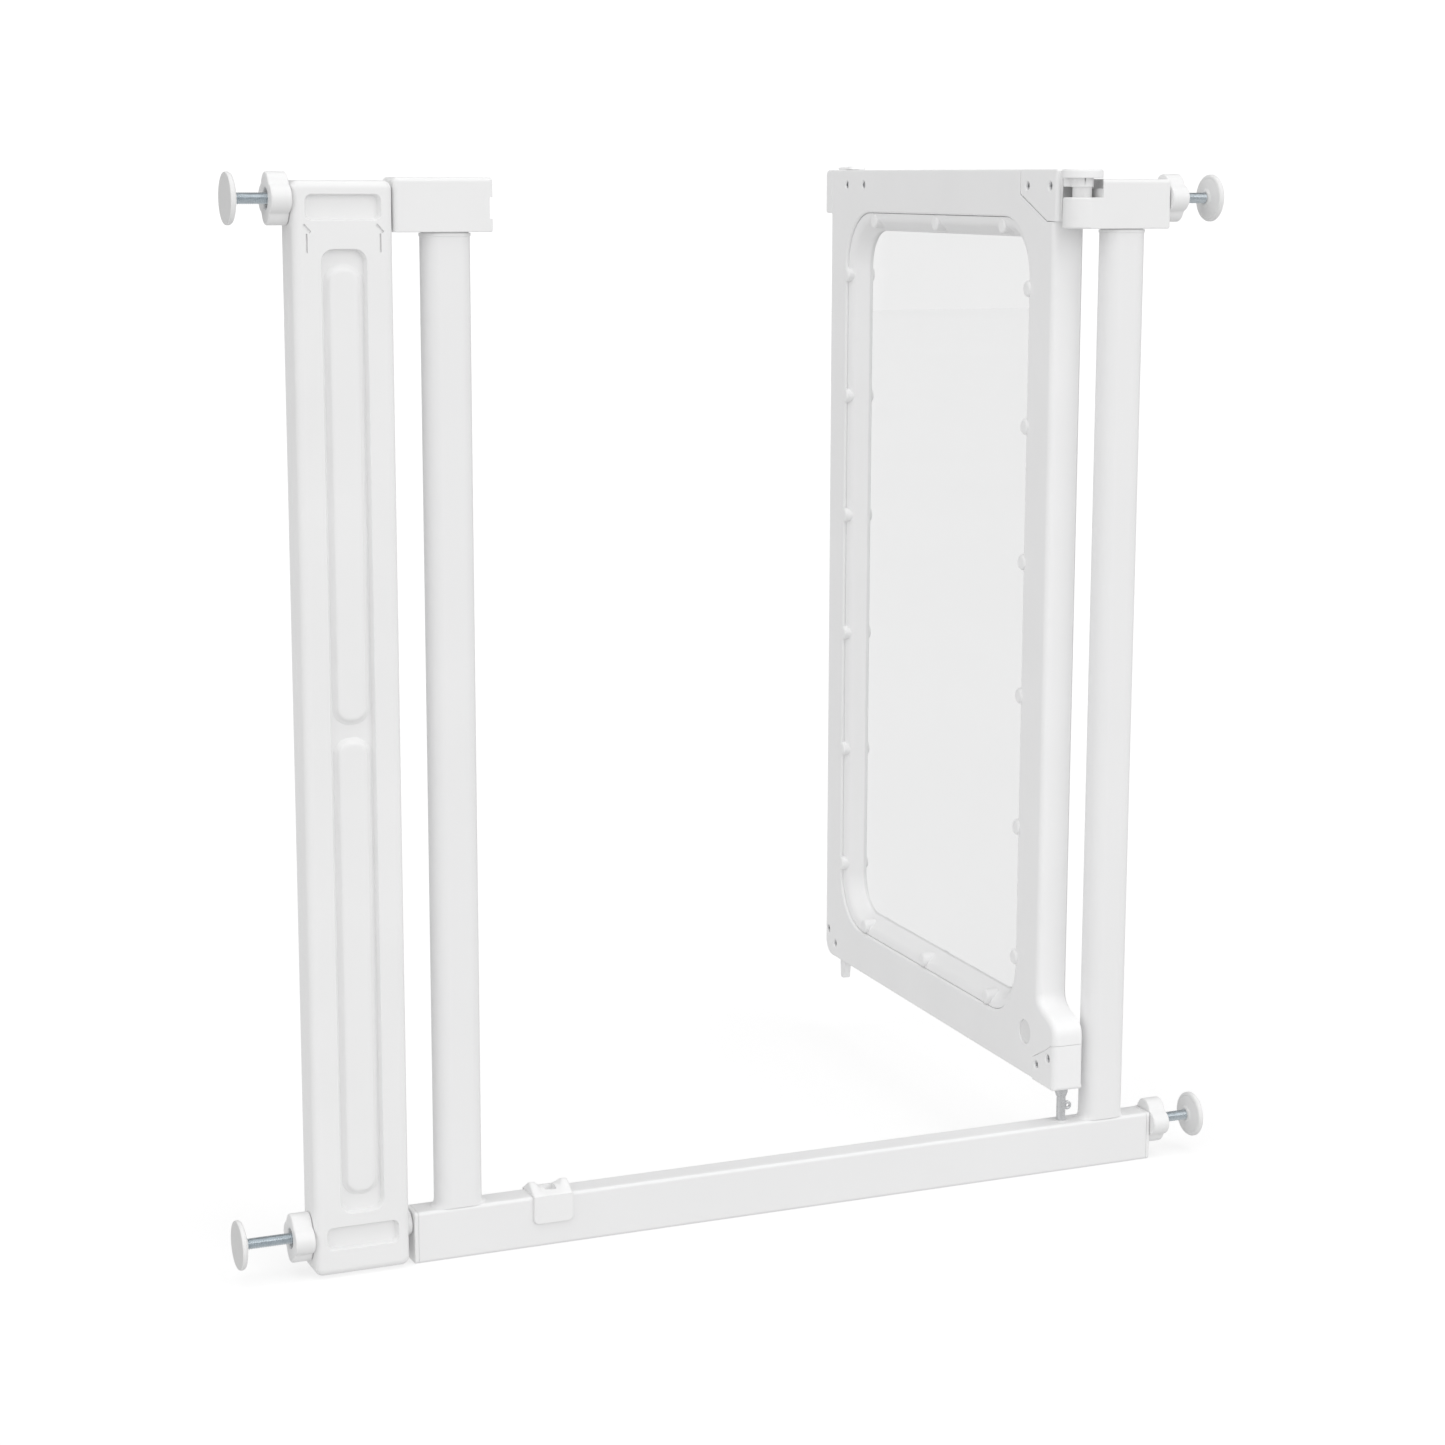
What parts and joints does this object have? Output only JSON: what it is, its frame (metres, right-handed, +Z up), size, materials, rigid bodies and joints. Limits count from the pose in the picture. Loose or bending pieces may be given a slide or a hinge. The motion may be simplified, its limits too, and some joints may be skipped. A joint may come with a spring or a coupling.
{
  "type": "pet gate",
  "caption": "White pressure-mounted walk-through pet gate with a side extension panel and a lift-and-swing door with a clear window.",
  "frame": {"origin": "on the floor under the middle of the bottom rail, in the gate's mid-plane", "axes": "+X along the gate from the latch side to the hinge side, +Y through the doorway towards the side the door stands open to, +Z up"},
  "size_m": [0.7765, 0.4792, 0.7722],
  "materials": {
    "white_powder_coat": "semi-gloss white powder coat on steel tube",
    "white_plastic": "semi-gloss moulded white plastic",
    "satin_white_plastic": "satin moulded white plastic",
    "zinc_steel": "bright zinc-plated steel with a bluish tint",
    "clear_acrylic": "clear polished sheet"
  },
  "bodies": {
    "frame": {"bottom_rail": "white_powder_coat", "rail_end_plug_left": "satin_white_plastic", "rail_end_plug_right": "satin_white_plastic", "left_upright": "white_powder_coat", "right_upright": "white_powder_coat", "latch_keeper": "white_plastic", "hinge_bracket": "white_plastic", "lower_hinge_bush": "satin_white_plastic", "floor_catch": "white_plastic", "housing_screws": "zinc_steel", "panel_front_shell": "white_plastic", "panel_back_shell": "white_plastic", "panel_screws": "zinc_steel", "connector_studs": "satin_white_plastic", "connector_nuts": "zinc_steel"},
    "spindle_left_upper": {"rod_left_upper": "zinc_steel", "wall_pad_left_upper": "satin_white_plastic"},
    "nut_left_upper": {"hand_nut_left_upper": "white_plastic", "nut_insert_left_upper": "zinc_steel"},
    "spindle_left_lower": {"rod_left_lower": "zinc_steel", "wall_pad_left_lower": "satin_white_plastic"},
    "nut_left_lower": {"hand_nut_left_lower": "white_plastic", "nut_insert_left_lower": "zinc_steel"},
    "spindle_right_upper": {"rod_right_upper": "zinc_steel", "wall_pad_right_upper": "satin_white_plastic"},
    "nut_right_upper": {"hand_nut_right_upper": "white_plastic", "nut_insert_right_upper": "zinc_steel"},
    "spindle_right_lower": {"rod_right_lower": "zinc_steel", "wall_pad_right_lower": "satin_white_plastic"},
    "nut_right_lower": {"hand_nut_right_lower": "white_plastic", "nut_insert_right_lower": "zinc_steel"},
    "hinge_bush": {"upper_hinge_bush": "satin_white_plastic"},
    "latch_slide": {"latch_bolt": "satin_white_plastic", "latch_button": "white_plastic"},
    "hinge_pin": {"lower_hinge_pin": "zinc_steel"},
    "door": {"door_frame": "white_plastic", "door_back_cover": "white_plastic", "window_bezel_front": "white_plastic", "window_bezel_rear": "white_plastic", "clear_window": "clear_acrylic", "bezel_studs_front": "white_plastic", "bezel_studs_rear": "white_plastic", "upper_hinge_cap": "white_plastic", "upper_hinge_pivot": "satin_white_plastic", "lower_hinge_cap": "white_plastic", "hinge_pin_spring": "zinc_steel", "latch_cap": "white_plastic", "bolt_spring": "zinc_steel", "drop_tongue": "white_plastic", "door_screws": "zinc_steel", "round_plug": "satin_white_plastic"}
  },
  "joints": [
    {"name": "door_swing", "type": "hinge", "parent": "frame", "child": "hinge_bush", "pos_m": [0.228, 0, 0.748], "axis": [0, 0, 1], "range_deg": [-1, 186]},
    {"name": "door_lift", "type": "slide", "parent": "hinge_bush", "child": "door", "axis": [0, 0, 1], "range_m": [-0.007, 0.003]},
    {"name": "pin_retract", "type": "slide", "parent": "door", "child": "hinge_pin", "axis": [0, 0, 1], "range_m": [0, 0.009], "stiffness_N_per_m": 150, "springref_m": -0.006, "deforming": ["hinge_pin_spring"]},
    {"name": "latch_pull", "type": "slide", "parent": "door", "child": "latch_slide", "axis": [0.0459, 0.9989, 0], "range_m": [0, 0.009]},
    {"name": "nut_turn_left_upper", "type": "hinge", "parent": "frame", "child": "nut_left_upper", "pos_m": [-0.3762, 0, 0.748], "axis": [-1, 0, 0], "range_deg": [-3456, 4032]},
    {"name": "spindle_travel_left_upper", "type": "slide", "parent": "frame", "child": "spindle_left_upper", "axis": [-1, 0, 0], "range_m": [-0.014, 0.012]},
    {"name": "nut_turn_left_lower", "type": "hinge", "parent": "frame", "child": "nut_left_lower", "pos_m": [-0.3762, 0, 0.0285], "axis": [-1, 0, 0], "range_deg": [-3456, 4032]},
    {"name": "spindle_travel_left_lower", "type": "slide", "parent": "frame", "child": "spindle_left_lower", "axis": [-1, 0, 0], "range_m": [-0.014, 0.012]},
    {"name": "nut_turn_right_upper", "type": "hinge", "parent": "frame", "child": "nut_right_upper", "pos_m": [0.2962, 0, 0.748], "axis": [1, 0, 0], "range_deg": [-3456, 4032]},
    {"name": "spindle_travel_right_upper", "type": "slide", "parent": "frame", "child": "spindle_right_upper", "axis": [1, 0, 0], "range_m": [-0.014, 0.012]},
    {"name": "nut_turn_right_lower", "type": "hinge", "parent": "frame", "child": "nut_right_lower", "pos_m": [0.3025, 0, 0.0285], "axis": [1, 0, 0], "range_deg": [-3456, 4032]},
    {"name": "spindle_travel_right_lower", "type": "slide", "parent": "frame", "child": "spindle_right_lower", "axis": [1, 0, 0], "range_m": [-0.014, 0.012]}
  ],
  "couplings": [
    {"joint": "nut_turn_left_upper", "follows": "spindle_travel_left_upper", "rad_per_m": -5026.5},
    {"joint": "nut_turn_left_lower", "follows": "spindle_travel_left_lower", "rad_per_m": -5026.5},
    {"joint": "nut_turn_right_upper", "follows": "spindle_travel_right_upper", "rad_per_m": -5026.5},
    {"joint": "nut_turn_right_lower", "follows": "spindle_travel_right_lower", "rad_per_m": -5026.5}
  ]
}
